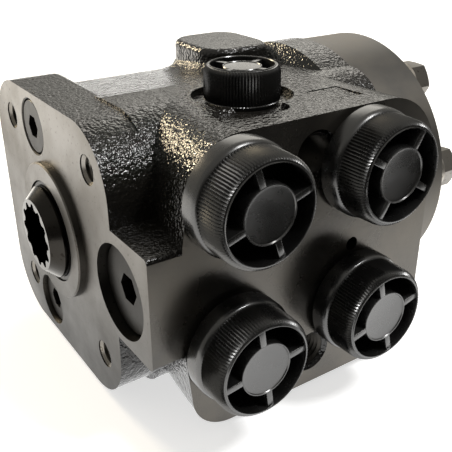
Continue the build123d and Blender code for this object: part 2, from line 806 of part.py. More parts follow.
def cover_screw(angle_deg, hole_end, with_pin):
    """One hexagon screw; the special one carries a guide pin on its point."""
    angle = math.radians(angle_deg)
    centre = (0, screw_circle_r * math.cos(angle), screw_circle_r * math.sin(angle))
    plane = axis_plane(centre, (1, 0, 0))
    head_x = stack_end + washer_thickness
    tip_x = housing_length - screw_grip
    turned([(tip_x, 0), (tip_x, screw_r - screw_point_chamfer), (tip_x + screw_point_chamfer, screw_r),
            (head_x, screw_r), (head_x, 0)], plane)
    add(screw_head(plane, head_x, angle_deg))
    if with_pin:
        cylinder_from(plane, hole_end, tip_x, guide_pin_r)


screw_angles = [first_lobe_deg + step * lobe_step_deg for step in range(lobe_count)]
with BuildPart() as cover_screws:
    for angle_deg in screw_angles[:-1]:
        cover_screw(angle_deg, 0, False)
finish_piece(cover_screws.part, "cover_screws")

with BuildPart() as pin_screw:
    cover_screw(screw_angles[-1], housing_length - screw_grip - screw_hole_spare + thread_gap, True)
finish_piece(pin_screw.part, "pin_screw")

with BuildPart() as cover_washers:
    for angle_deg in screw_angles:
        angle = math.radians(angle_deg)
        centre = (0, screw_circle_r * math.cos(angle), screw_circle_r * math.sin(angle))
        ring_from(axis_plane(centre, (1, 0, 0)), stack_end, stack_end + washer_thickness,
                  screw_r + screw_hole_gap, washer_r)
finish_piece(cover_washers.part, "cover_washers")

# ---------------------------------------------------------------- cardan shaft and spacer
rotor_mid = Vector(ring_x + gear_width / 2, rotor_centre[1], rotor_centre[2])
pin_centre = Vector(pin_x, 0, 0)
cardan_line = rotor_mid - pin_centre
cardan_axis = axis_plane(pin_centre, cardan_line)
spacer_x = rotor_x + rotor_width - spacer_thickness
head_front = cardan_line.length - gear_width / 2 - cardan_head_inset
head_rear = cardan_line.length + gear_width / 2 - spacer_thickness - spacer_gap
with BuildPart() as cardan_shaft:
    turned([(fork_front, 0), (fork_front, fork_r), (fork_rear, fork_r),
            (fork_rear + cardan_taper, neck_r), (head_front - cardan_taper / 2, neck_r),
            (head_front, cardan_head_root_r), (head_front, 0)], cardan_axis)
    with BuildSketch(Plane(origin=pin_centre + cardan_axis.x_dir * fork_front, x_dir=(0, 1, 0),
                           z_dir=cardan_axis.x_dir)):
        Rectangle(fork_slot_length, 2 * (pin_r + fork_slot_gap))
    extrude(amount=pin_r + fork_slot_gap - fork_front, mode=Mode.SUBTRACT)
    with BuildSketch(Plane(origin=pin_centre + cardan_axis.x_dir * head_front, x_dir=(0, 1, 0),
                           z_dir=cardan_axis.x_dir)):
        Polygon(*toothed_outline(spline_teeth, cardan_head_root_r, cardan_head_r, 0.42, 0.12), align=None)
    extrude(amount=head_rear - head_front)
finish_piece(cardan_shaft.part, "cardan_shaft")

with BuildPart() as spacer:
    cylinder_from(rotor_axis, spacer_x - rotor_x, spacer_x - rotor_x + spacer_thickness, spacer_r)
finish_piece(spacer.part, "spacer")

# ---------------------------------------------------------------- relief valve
with BuildPart() as relief_plug:
    turned([(relief_head_x, 0), (relief_head_x, relief_head_r), (relief_seal_x, relief_head_r),
            (relief_seal_x, relief_thread_r), (relief_thread_end, relief_thread_r),
            (relief_thread_end, relief_pocket_r), (relief_thread_end - relief_pocket_depth, relief_pocket_r),
            (relief_thread_end - relief_pocket_depth, 0)], relief_plane)
    chamfer(relief_plug.edges().group_by(Axis.X)[0], screw_head_chamfer)
    with BuildSketch(Plane(origin=(relief_head_x, relief_y, relief_z), x_dir=(0, 1, 0), z_dir=(1, 0, 0))):
        RegularPolygon(relief_hex / 2, 6, major_radius=False)
    extrude(amount=relief_hex_depth, mode=Mode.SUBTRACT)
finish_piece(relief_plug.part, "relief_plug")

with BuildPart() as relief_seal:
    ring_from(relief_plane, relief_seal_x, relief_floor_x, relief_thread_r + seal_fit_gap, relief_seal_r)
finish_piece(relief_seal.part, "relief_seal")

poppet_reach = relief_cone_r - relief_seat_hole_r
poppet_face = relief_seat_front - spring_end_gap
with BuildPart() as relief_poppet:
    turned([(poppet_face - relief_poppet_length, 0), (poppet_face - relief_poppet_length, relief_poppet_r),
            (poppet_face - relief_cone_r, relief_poppet_r), (poppet_face - relief_cone_r, relief_cone_r),
            (poppet_face - poppet_reach, relief_cone_r), (poppet_face + poppet_reach, relief_seat_hole_r / 2),
            (poppet_face + poppet_reach, 0)], relief_plane)
finish_piece(relief_poppet.part, "relief_poppet")

with BuildPart() as relief_seat:
    ring_from(relief_plane, relief_seat_front, relief_seat_end, relief_seat_hole_r, relief_bore_r - pin_fit_gap)
finish_piece(relief_seat.part, "relief_seat")

relief_spring = coil(relief_plane, relief_thread_end - relief_pocket_depth + spring_end_gap,
                     poppet_face - relief_poppet_length - spring_end_gap, relief_spring_r,
                     relief_spring_pitch)
finish_piece(relief_spring, "relief_spring")

# ---------------------------------------------------------------- shock valves
shock_ball_x = shock_seat_x - ball_seat_gap - math.sqrt(shock_ball_r ** 2 - shock_seat_hole_r ** 2)
for name, (y, z, inset) in zip(("upper", "lower"), shock_places):
    plane = axis_plane((0, y, z), (1, 0, 0))
    plug_end = inset + shock_plug_length
    with BuildPart() as shock_plug:
        cylinder_from(plane, inset, plug_end, shock_plug_r)
        chamfer(shock_plug.edges().group_by(Axis.X)[0], screw_head_chamfer)
        with BuildSketch(Plane(origin=(inset, y, z), x_dir=(0, 1, 0), z_dir=(1, 0, 0))):
            RegularPolygon(shock_hex / 2, 6, major_radius=False)
        extrude(amount=shock_hex_depth, mode=Mode.SUBTRACT)
    finish_piece(shock_plug.part, f"{name}_shock_plug")
    with BuildPart() as shock_ball:
        with Locations((shock_ball_x, y, z)):
            Sphere(shock_ball_r)
    finish_piece(shock_ball.part, f"{name}_shock_ball")
    spring_end = shock_ball_x - math.sqrt((shock_ball_r + spring_wire_r + spring_end_gap) ** 2
                                          - shock_spring_r ** 2) + spring_wire_r
    shock_spring = coil(plane, plug_end + spring_end_gap, spring_end, shock_spring_r, shock_spring_pitch)
    finish_piece(shock_spring, f"{name}_shock_spring")

# ---------------------------------------------------------------- check valve
with BuildPart() as ball_stop:
    ring_from(check_plane, -port_depth, stop_end, stop_hole_r, stop_r - pin_fit_gap)
finish_piece(ball_stop.part, "ball_stop")

check_ball_depth = stop_end - math.sqrt(check_ball_r ** 2 - stop_hole_r ** 2) - ball_seat_gap
with BuildPart() as check_ball:
    with Locations((check_place[0], port_face - check_ball_depth, check_place[1])):
        Sphere(check_ball_r)
finish_piece(check_ball.part, "check_ball")


# ---------------------------------------------------------------- port caps and their seals
def spokes(plane, count, turn_deg, hub_r, window_r, width, floor, top):
    """Radial bars that join the hub of a cap to its rim."""
    spoke_plane = Plane(origin=plane.origin + plane.x_dir * floor, z_dir=plane.x_dir, x_dir=plane.z_dir)
    with BuildSketch(spoke_plane) as bars:
        with PolarLocations((hub_r + window_r) / 2, count, start_angle=turn_deg):
            Rectangle(window_r - hub_r + cap_spoke_overlap, width)
    extrude(bars.sketch, amount=top - floor)


def knurled_band(plane, start, end, radius, ribs):
    """A ribbed length of a cap's outside."""
    band_plane = Plane(origin=plane.origin + plane.x_dir * start, z_dir=plane.x_dir, x_dir=plane.z_dir)
    with BuildSketch(band_plane) as band:
        Polygon(*ribbed_outline(ribs, radius, cap_rib_depth), align=None)
    extrude(band.sketch, amount=end - start)


cap_names = ("upper_front", "upper_rear", "lower_front", "lower_rear")
cap_base = cap_seal_thickness
for name, place, turn_deg in zip(cap_names, port_places, cap_turns_deg):
    plane = port_plane(place)
    with BuildPart() as port_cap:
        knurled_band(plane, cap_base, cap_band_low, cap_r, cap_ribs)
        turned([(cap_base, 0), (cap_base, cap_waist_r), (cap_height - cap_bevel, cap_waist_r),
                (cap_height, cap_rim_r), (cap_height, 0)], plane)
        knurled_band(plane, cap_band_high, cap_height - cap_bevel, cap_waist_r + cap_rib_depth, cap_ribs)
        turned([(cap_floor, cap_hub_r), (cap_floor, cap_window_r), (cap_height, cap_window_r),
                (cap_height, 0), (cap_height - cap_hub_drop, 0), (cap_height - cap_hub_drop, cap_hub_r)],
               plane, Mode.SUBTRACT)
        spokes(plane, cap_spokes, turn_deg, cap_hub_r, cap_window_r, cap_spoke_width, cap_floor,
               cap_height - cap_hub_drop)
        cylinder_from(plane, cap_base - cap_shank_length, cap_base, port_r - port_thread_gap)
    finish_piece(port_cap.part, f"{name}_cap")
    with BuildPart() as cap_seal:
        ring_from(plane, 0, cap_seal_thickness, port_r, cap_seal_r)
    finish_piece(cap_seal.part, f"{name}_seal")

with BuildPart() as sensing_cap:
    knurled_band(sensing_plane, sensing_seal_thickness, sensing_cap_height - cap_bevel / 2, sensing_cap_r,
                 sensing_ribs)
    turned([(sensing_cap_height - cap_bevel / 2, 0), (sensing_cap_height - cap_bevel / 2, sensing_cap_rim_r),
            (sensing_cap_height, sensing_cap_rim_r - cap_bevel / 4), (sensing_cap_height, 0)], sensing_plane)
    turned([(sensing_floor, sensing_hub_r), (sensing_floor, sensing_window_r),
            (sensing_cap_height, sensing_window_r), (sensing_cap_height, 0),
            (sensing_cap_height - cap_hub_drop, 0), (sensing_cap_height - cap_hub_drop, sensing_hub_r)],
           sensing_plane, Mode.SUBTRACT)
    spokes(sensing_plane, cap_spokes, cap_turns_deg[0], sensing_hub_r, sensing_window_r,
           sensing_spoke_width, sensing_floor, sensing_cap_height - cap_hub_drop)
    cylinder_from(sensing_plane, sensing_seal_thickness - sensing_shank_length, sensing_seal_thickness,
                  sensing_port_r - port_thread_gap)
finish_piece(sensing_cap.part, "sensing_cap")

with BuildPart() as sensing_seal:
    ring_from(sensing_plane, 0, sensing_seal_thickness, sensing_port_r, sensing_seal_r)
finish_piece(sensing_seal.part, "sensing_seal")
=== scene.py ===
"""Looks of a load-sensing orbital steering unit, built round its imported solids.

Run as a script. Each piece or group of like pieces has its own operator; main() calls them in order.
"""

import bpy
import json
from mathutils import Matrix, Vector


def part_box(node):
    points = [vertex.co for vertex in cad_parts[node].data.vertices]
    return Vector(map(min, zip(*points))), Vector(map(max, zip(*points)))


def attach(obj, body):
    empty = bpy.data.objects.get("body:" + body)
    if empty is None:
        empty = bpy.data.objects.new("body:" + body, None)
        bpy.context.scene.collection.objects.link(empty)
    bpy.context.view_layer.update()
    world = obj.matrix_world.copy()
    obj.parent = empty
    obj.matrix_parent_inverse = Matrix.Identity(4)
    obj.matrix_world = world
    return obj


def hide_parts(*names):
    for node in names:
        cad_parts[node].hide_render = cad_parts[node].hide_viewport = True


bl_info = {
    "name": "Orbital steering unit",
    "version": (1, 0, 0),
    "blender": (4, 5, 0),
    "location": "View3D > Sidebar > Steering",
    "description": "Builds the finishes, transit caps, casting and studio of an orbital steering unit",
    "category": "Object",
}

import json
import math

import bmesh
import bpy
from mathutils import Matrix, Vector

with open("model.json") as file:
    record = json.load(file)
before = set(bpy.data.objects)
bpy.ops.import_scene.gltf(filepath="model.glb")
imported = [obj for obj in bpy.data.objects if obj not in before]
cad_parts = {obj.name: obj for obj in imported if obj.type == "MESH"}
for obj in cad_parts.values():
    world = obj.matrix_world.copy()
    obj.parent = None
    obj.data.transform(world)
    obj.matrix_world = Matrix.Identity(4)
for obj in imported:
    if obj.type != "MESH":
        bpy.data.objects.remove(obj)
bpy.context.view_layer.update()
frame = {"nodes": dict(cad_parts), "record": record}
NODES = frame["nodes"]
MM = 0.001

# Places read from the frame
HOUSING_LOW, HOUSING_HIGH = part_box("housing")
PORT_FACE_Y = HOUSING_LOW.y
FLOOR_Z = HOUSING_LOW.z

# Floor: half its side, where it ends in front, and how bright it is to the camera and in reflections
FLOOR_HALF = 1.2
FLOOR_FRONT_Y = -0.15
FLOOR_SEEN = 0.62
FLOOR_REFLECTED = 1.25
WHITE = (1.0, 1.0, 1.0, 1.0)
ROOM_TINT = (1.0, 0.965, 0.88, 1.0)

# Numbers of the housing's finishes, in the order of its material slots
PAINT, MOUNT_FACE, PORT_FACE, BORE, THREAD = range(5)
HOUSING_FINISHES = ("cast_paint", "mount_face", "port_face", "bore_face", "thread_cut")

# Places and sizes of the casting's holes: (y, z) in the front face, (x, z) in the port face
MOUNT_HALF = 29.2 * MM
MOUNT_HOLES = tuple((y, z) for y in (-MOUNT_HALF, MOUNT_HALF) for z in (-MOUNT_HALF, MOUNT_HALF))
MOUNT_HOLE_R = 4.25 * MM
MOUNT_HOLE_END_X = 20 * MM
VALVE_HOLES = ((51.5 * MM, 32.1 * MM), (53.2 * MM, -31.5 * MM))
VALVE_HOLE_R = 5.6 * MM
VALVE_HOLE_END_Y = -40 * MM
PLUG_SEATS = ((-43.3, -0.7, 13.6), (10.6, 30.3, 8.9), (13.7, -32.6, 8.9))
PLUG_SEAT_END_X = 12 * MM
MAIN_BORE_R = 22 * MM
WALL_SLACK = 0.1 * MM

# Caps: x and z in mm and the turn of the spokes in degrees
PORT_CAPS = {"upper_front": (24.7, 27.7, 18.0), "upper_rear": (67.4, 27.7, -31.0),
             "lower_front": (24.7, -16.1, 8.0), "lower_rear": (67.4, -16.1, 14.0)}
SENSING_PLACE = (48.0 * MM, -31.0 * MM, 40.0 * MM)


# ------------------------------------------------------------------ node helpers
def link(tree, source, target):
    tree.links.new(source, target)


def group_sockets(group, inputs, outputs):
    """Declare a shader group's sockets from (name, type, default) rows."""
    for name, kind, default in inputs:
        socket = group.interface.new_socket(name=name, in_out="INPUT", socket_type=kind)
        if default is not None:
            socket.default_value = default
    for name, kind in outputs:
        group.interface.new_socket(name=name, in_out="OUTPUT", socket_type=kind)


def new_group(name, inputs, outputs):
    group = bpy.data.node_groups.new(name, "ShaderNodeTree")
    group_sockets(group, inputs, outputs)
    return group, group.nodes.new("NodeGroupInput"), group.nodes.new("NodeGroupOutput")


def math_node(tree, operation, first, second=None, clamp=False):
    node = tree.nodes.new("ShaderNodeMath")
    node.operation = operation
    node.use_clamp = clamp
    for slot, value in enumerate((first, second)):
        if value is None:
            continue
        if isinstance(value, (int, float)):
            node.inputs[slot].default_value = value
        else:
            link(tree, value, node.inputs[slot])
    return node.outputs[0]


def noise_node(tree, vector, scale, detail=2.0, roughness=0.5):
    node = tree.nodes.new("ShaderNodeTexNoise")
    node.inputs["Detail"].default_value = detail
    node.inputs["Roughness"].default_value = roughness
    link(tree, vector, node.inputs["Vector"])
    if isinstance(scale, (int, float)):
        node.inputs["Scale"].default_value = scale
    else:
        link(tree, scale, node.inputs["Scale"])
    return node.outputs["Fac"]


def remap_node(tree, value, low, high, to_low=0.0, to_high=1.0):
    node = tree.nodes.new("ShaderNodeMapRange")
    node.inputs["From Min"].default_value = low
    node.inputs["From Max"].default_value = high
    node.inputs["To Min"].default_value = to_low
    node.inputs["To Max"].default_value = to_high
    link(tree, value, node.inputs["Value"])
    return node.outputs["Result"]


def mix_colour(tree, factor, first, second):
    node = tree.nodes.new("ShaderNodeMix")
    node.data_type = "RGBA"
    link(tree, factor, node.inputs[0])
    for slot, value in ((6, first), (7, second)):
        if isinstance(value, tuple):
            node.inputs[slot].default_value = value
        else:
            link(tree, value, node.inputs[slot])
    return node.outputs[2]


# ------------------------------------------------------------------ shader groups
def cast_grain_group():
    """Sand-cast grain under paint: grains, pits and slow swells, in millimetres of relief."""
    group, source, out = new_group(
        "cast_grain",
        [("Vector", "NodeSocketVector", None), ("Grain", "NodeSocketFloat", 900.0),
         ("Swell", "NodeSocketFloat", 120.0)],
        [("Height", "NodeSocketFloat"), ("Pits", "NodeSocketFloat")])
    vector = source.outputs["Vector"]
    grain = noise_node(group, vector, source.outputs["Grain"], 1.5, 0.5)
    coarse_scale = math_node(group, "MULTIPLY", source.outputs["Grain"], 0.38)
    coarse = noise_node(group, vector, coarse_scale, 2.0, 0.5)
    swell = noise_node(group, vector, source.outputs["Swell"], 2.0, 0.5)
    fine = math_node(group, "MULTIPLY", grain, 0.8)
    bold = math_node(group, "ADD", fine, math_node(group, "MULTIPLY", coarse, 0.7))
    height = math_node(group, "ADD", bold, math_node(group, "MULTIPLY", swell, 0.35))
    link(group, height, out.inputs["Height"])
    link(group, remap_node(group, coarse, 0.62, 0.75), out.inputs["Pits"])
    return group


def patina_group():
    """Slow handling marks and haze that shift tone and roughness."""
    group, source, out = new_group(
        "patina",
        [("Vector", "NodeSocketVector", None), ("Size", "NodeSocketFloat", 60.0)],
        [("Haze", "NodeSocketFloat"), ("Specks", "NodeSocketFloat")])
    haze = noise_node(group, source.outputs["Vector"], source.outputs["Size"], 5.0, 0.6)
    specks = noise_node(group, source.outputs["Vector"],
                        math_node(group, "MULTIPLY", source.outputs["Size"], 22.0), 1.0, 0.5)
    link(group, remap_node(group, haze, 0.35, 0.68), out.inputs["Haze"])
    link(group, remap_node(group, specks, 0.66, 0.72), out.inputs["Specks"])
    return group


def turning_group():
    """Fine machining lines, stretched along one direction of the mapping."""
    group, source, out = new_group(
        "machining_lines",
        [("Vector", "NodeSocketVector", None), ("Pitch", "NodeSocketFloat", 2500.0)],
        [("Height", "NodeSocketFloat")])
    fine = noise_node(group, source.outputs["Vector"], source.outputs["Pitch"], 2.0, 0.6)
    link(group, fine, out.inputs["Height"])
    return group


GROUPS = {}


def place_group(tree, name, vector, **values):
    node = tree.nodes.new("ShaderNodeGroup")
    node.node_tree = GROUPS[name]
    link(tree, vector, node.inputs["Vector"])
    for socket, value in values.items():
        node.inputs[socket].default_value = value
    return node


# ------------------------------------------------------------------ materials
def start_material(name, stretch=(1.0, 1.0, 1.0)):
    """A material with its Principled shader and an object-space mapping."""
    material = bpy.data.materials.new(name)
    material.use_nodes = True
    tree = material.node_tree
    shader = tree.nodes["Principled BSDF"]
    place = tree.nodes.new("ShaderNodeTexCoord")
    mapping = tree.nodes.new("ShaderNodeMapping")
    mapping.inputs["Scale"].default_value = stretch
    link(tree, place.outputs["Object"], mapping.inputs["Vector"])
    return material, tree, shader, mapping.outputs["Vector"]


def bump(tree, shader, height, strength, distance):
    node = tree.nodes.new("ShaderNodeBump")
    node.inputs["Strength"].default_value = strength
    node.inputs["Distance"].default_value = distance
    link(tree, height, node.inputs["Height"])
    link(tree, node.outputs["Normal"], shader.inputs["Normal"])


def grey(value, warm=0.0):
    """A grey with a little warmth, as linear colour."""
    return (value * (1 + warm), value, value * (1 - 1.5 * warm), 1.0)


def cast_paint_material(settings):
    """Glossy black paint that follows the sand-cast grain."""
    material, tree, shader, vector = start_material("cast_paint")
    grain = place_group(tree, "cast_grain", vector, Grain=settings.grain_density)
    patina = place_group(tree, "patina", vector, Size=45.0)
    colour = mix_colour(tree, patina.outputs["Haze"], grey(settings.paint_tone, 0.08),
                        grey(settings.paint_tone * 1.5, 0.12))
    link(tree, colour, shader.inputs["Base Color"])
    rough = remap_node(tree, patina.outputs["Haze"], 0.0, 1.0, 0.07, 0.15)
    link(tree, rough, shader.inputs["Roughness"])
    bump(tree, shader, grain.outputs["Height"], settings.grain_relief, 0.0006)
    return material


def bare_face_material(name, tone, rough_low, rough_high, stretch, painted_low_shade=0.0):
    """Milled or ground iron: fine lines, haze, specks, and painted shade that darkens it towards the
    bottom as strongly as the last argument says.
    """
    material, tree, shader, vector = start_material(name, stretch)
    lines = place_group(tree, "machining_lines", vector, Pitch=900.0)
    plain = tree.nodes.new("ShaderNodeTexCoord").outputs["Object"]
    patina = place_group(tree, "patina", plain, Size=38.0)
    colour = mix_colour(tree, patina.outputs["Haze"], grey(tone, 0.05), grey(tone * 0.72, 0.10))
    speckled = mix_colour(tree, patina.outputs["Specks"], colour, grey(tone * 0.45, 0.12))
    # Painted shade: the colour goes towards near-black from 35 mm above the origin down to 35 mm below it,
    # scaled by the last argument.
    split = tree.nodes.new("ShaderNodeSeparateXYZ")
    link(tree, plain, split.inputs["Vector"])
    low_shade_mask = remap_node(tree, split.outputs["Z"], 0.035, -0.035, 0.0, painted_low_shade)
    low_shaded = mix_colour(tree, low_shade_mask, speckled, grey(tone * 0.05, 0.12))
    link(tree, low_shaded, shader.inputs["Base Color"])
    link(tree, remap_node(tree, patina.outputs["Haze"], 0.0, 1.0, rough_low, rough_high),
         shader.inputs["Roughness"])
    shader.inputs["Metallic"].default_value = 1.0
    bump(tree, shader, lines.outputs["Height"], 0.25, 0.00005)
    return material


def painted_machined_material(name, tone, rough_low, rough_high, metallic):
    """Thin satin paint over a machined face."""
    material, tree, shader, vector = start_material(name, (1.0, 1.0, 1.0))
    patina = place_group(tree, "patina", vector, Size=30.0)
    colour = mix_colour(tree, patina.outputs["Haze"], grey(tone, 0.04), grey(tone * 1.6, 0.10))
    link(tree, colour, shader.inputs["Base Color"])
    link(tree, remap_node(tree, patina.outputs["Haze"], 0.0, 1.0, rough_low, rough_high),
         shader.inputs["Roughness"])
    shader.inputs["Metallic"].default_value = metallic
    grain = place_group(tree, "cast_grain", vector, Grain=1400.0, Swell=90.0)
    bump(tree, shader, grain.outputs["Height"], 0.10, 0.0002)
    return material


def plastic_material(name, tone, rough_low, rough_high):
    """Moulded plastic with faint flow haze."""
    material, tree, shader, vector = start_material(name)
    shader.inputs["Specular IOR Level"].default_value = 1.0
    patina = place_group(tree, "patina", vector, Size=110.0)
    colour = mix_colour(tree, patina.outputs["Haze"], grey(tone), grey(tone * 1.5, 0.03))
    link(tree, colour, shader.inputs["Base Color"])
    link(tree, remap_node(tree, patina.outputs["Haze"], 0.0, 1.0, rough_low, rough_high),
         shader.inputs["Roughness"])
    grain = place_group(tree, "cast_grain", vector, Grain=2600.0, Swell=300.0)
    bump(tree, shader, grain.outputs["Height"], 0.08, 0.00012)
    return material


MATERIALS = {}


class CastingSettings(bpy.types.PropertyGroup):
    """Finish of the painted casting and its machined faces."""
    paint_tone: bpy.props.FloatProperty(name="Paint tone", description="How light the black paint is",
                                        default=0.006, min=0.0, max=1.0)
    grain_density: bpy.props.FloatProperty(name="Grain density", description="Cast grains per metre",
                                           default=1100.0, min=1.0)
    grain_relief: bpy.props.FloatProperty(name="Grain relief", description="Strength of the cast grain",
                                          default=0.9, min=0.0, max=1.0, subtype="FACTOR")
    thread_pitch: bpy.props.FloatProperty(name="Thread pitch", description="Pitch of the cut threads",
                                          default=1.5 * MM, min=0.0001, subtype="DISTANCE", unit="LENGTH")
    face_tone: bpy.props.FloatProperty(name="Machined tone", description="How light the bare faces are",
                                       default=0.155, min=0.0, max=1.0)


class CapSettings(bpy.types.PropertyGroup):
    """Grip of the moulded caps."""
    port_ribs: bpy.props.IntProperty(name="Port cap ribs", description="Ribs round each port cap",
                                     default=104, min=12)
    sensing_ribs: bpy.props.IntProperty(name="Sensing cap ribs", description="Ribs round the small cap",
                                        default=76, min=12)
    rib_depth: bpy.props.FloatProperty(name="Rib depth", description="Depth of the grooves between ribs",
                                       default=0.42 * MM, min=0.0, subtype="DISTANCE", unit="LENGTH")


class StageSettings(bpy.types.PropertyGroup):
    """Camera and lights."""
    lens: bpy.props.FloatProperty(name="Lens", description="Focal length", default=54.55, min=1.0,
                                  subtype="DISTANCE_CAMERA", unit="CAMERA")
    azimuth: bpy.props.FloatProperty(name="Azimuth", description="Camera direction round the unit",
                                     default=math.radians(-33.99), subtype="ANGLE", unit="ROTATION")
    elevation: bpy.props.FloatProperty(name="Elevation", description="Camera height angle",
                                       default=math.radians(26.3), subtype="ANGLE", unit="ROTATION")
    roll: bpy.props.FloatProperty(name="Roll", description="Camera roll", default=math.radians(-0.23),
                                  subtype="ANGLE", unit="ROTATION")
    camera_place: bpy.props.FloatVectorProperty(name="Camera place", description="Where the camera stands",
                                                default=(-0.06269, -0.18674, 0.09479), subtype="XYZ",
                                                unit="LENGTH")
    world_level: bpy.props.FloatProperty(name="World level", description="Brightness of the plain world",
                                         default=0.42, min=0.0)
    front_level: bpy.props.FloatProperty(name="Front level", description="Brightness of the dim front",
                                         default=0.05, min=0.0)


def finish_node(name, material):
    """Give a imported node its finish."""
    slots = NODES[name].data.materials
    slots.clear()
    slots.append(MATERIALS[material])


def turn_profile(shape, rows, steps):
    """Spin (height, radius) rows round Z into a closed skin; sizes in metres."""
    verts = [shape.verts.new((radius, 0.0, height)) for height, radius in rows]
    edges = [shape.edges.new(pair) for pair in zip(verts, verts[1:])]
    bmesh.ops.spin(shape, geom=verts + edges, cent=(0, 0, 0), axis=(0, 0, 1), angle=2 * math.pi,
                   steps=steps, use_merge=True)
    bmesh.ops.remove_doubles(shape, verts=shape.verts, dist=0.001 * MM)
    bmesh.ops.recalc_face_normals(shape, faces=shape.faces)


def thread_rings(shape, radius, depth, pitch):
    """Ridges of an inside thread that stand in from a bored wall."""
    height = 0.0
    while height < depth:
        ring = bmesh.new()
        turn_profile(ring, ((height, radius + 0.02 * MM), (height + pitch / 2, radius - 0.55 * pitch),
                            (height + pitch, radius + 0.02 * MM)), 40)
        bmesh.ops.reverse_faces(ring, faces=ring.faces)
        add_shape(shape, ring, 0)
        height += pitch


def move_piece(shape, place, along):
    """Turn a shape's Z towards a direction and put its origin at a place."""
    turn = Vector(along).to_track_quat("Z", "X").to_matrix().to_4x4()
    bmesh.ops.transform(shape, matrix=Matrix.Translation(place) @ turn, verts=shape.verts)


def add_shape(shape, extra, finish):
    """Join one bmesh into another, with one finish number, and free it."""
    for face in extra.faces:
        face.material_index = finish
    spare = bpy.data.meshes.new("spare")
    extra.to_mesh(spare)
    extra.free()
    shape.from_mesh(spare)
    bpy.data.meshes.remove(spare)


def finish_mesh(shape, name, crease_deg):
    """Make a smooth-shaded mesh whose edges over an angle stay crisp."""
    mesh = bpy.data.meshes.new(name)
    for face in shape.faces:
        face.smooth = True
    shape.to_mesh(mesh)
    shape.free()
    if "custom_normal" in mesh.attributes:
        mesh.attributes.remove(mesh.attributes["custom_normal"])
    mesh.set_sharp_from_angle(angle=math.radians(crease_deg))
    return mesh


def new_piece(name, mesh, body, slot, *replaced):
    piece = bpy.data.objects.new(name, mesh)
    bpy.context.scene.collection.objects.link(piece)
    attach(piece, body)
    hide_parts(*replaced)
    return piece


# ------------------------------------------------------------------ operators
class STEERING_OT_materials(bpy.types.Operator):
    """Make the shader groups and the finishes"""
    bl_idname = "steering.materials"
    bl_label = "Make finishes"

    def execute(self, context):
        casting = context.scene.steering_casting
        GROUPS["cast_grain"] = cast_grain_group()
        GROUPS["patina"] = patina_group()
        GROUPS["machining_lines"] = turning_group()
        MATERIALS["cast_paint"] = cast_paint_material(casting)
        # The last argument gives the bare front face its full painted shade towards the bottom.
        MATERIALS["mount_face"] = bare_face_material("mount_face", casting.face_tone, 0.34, 0.48,
                                                     (1.0, 0.06, 1.0), 1.0)
        MATERIALS["bore_face"] = bare_face_material("bore_face", 0.045, 0.4, 0.55, (1.0, 0.1, 1.0))
        MATERIALS["thread_cut"] = bare_face_material("thread_cut", 0.20, 0.25, 0.4, (1.0, 1.0, 1.0))
        MATERIALS["port_face"] = painted_machined_material("port_face", 0.062, 0.22, 0.34, 0.85)
        MATERIALS["gear_paint"] = painted_machined_material("gear_paint", 0.085, 0.46, 0.58, 0.8)
        MATERIALS["screw_steel"] = bare_face_material("screw_steel", 0.16, 0.38, 0.5, (0.2, 1.0, 1.0))
        MATERIALS["plug_steel"] = bare_face_material("plug_steel", 0.024, 0.42, 0.55, (1.0, 0.5, 0.5))
        MATERIALS["valve_steel"] = bare_face_material("valve_steel", 0.026, 0.14, 0.24, (0.3, 1.0, 1.0))
        MATERIALS["spring_steel"] = bare_face_material("spring_steel", 0.22, 0.3, 0.4, (1.0, 1.0, 1.0))
        MATERIALS["washer_metal"] = bare_face_material("washer_metal", 0.34, 0.4, 0.5, (1.0, 1.0, 1.0))
        MATERIALS["cap_plastic"] = plastic_material("cap_plastic", 0.0045, 0.22, 0.32)
        MATERIALS["seal_rubber"] = plastic_material("seal_rubber", 0.010, 0.5, 0.65)
        return {"FINISHED"}


class STEERING_OT_finish_nodes(bpy.types.Operator):
    """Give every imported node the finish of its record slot"""
    bl_idname = "steering.finish_nodes"
    bl_label = "Finish packed nodes"

    def execute(self, context):
        finishes = {"casting": "cast_paint", "gear_steel": "gear_paint"}
        for row in frame["record"]["subparts"]:
            slot = row["material_slot"]
            finish_node(row["node"], finishes.get(slot, slot))
        return {"FINISHED"}


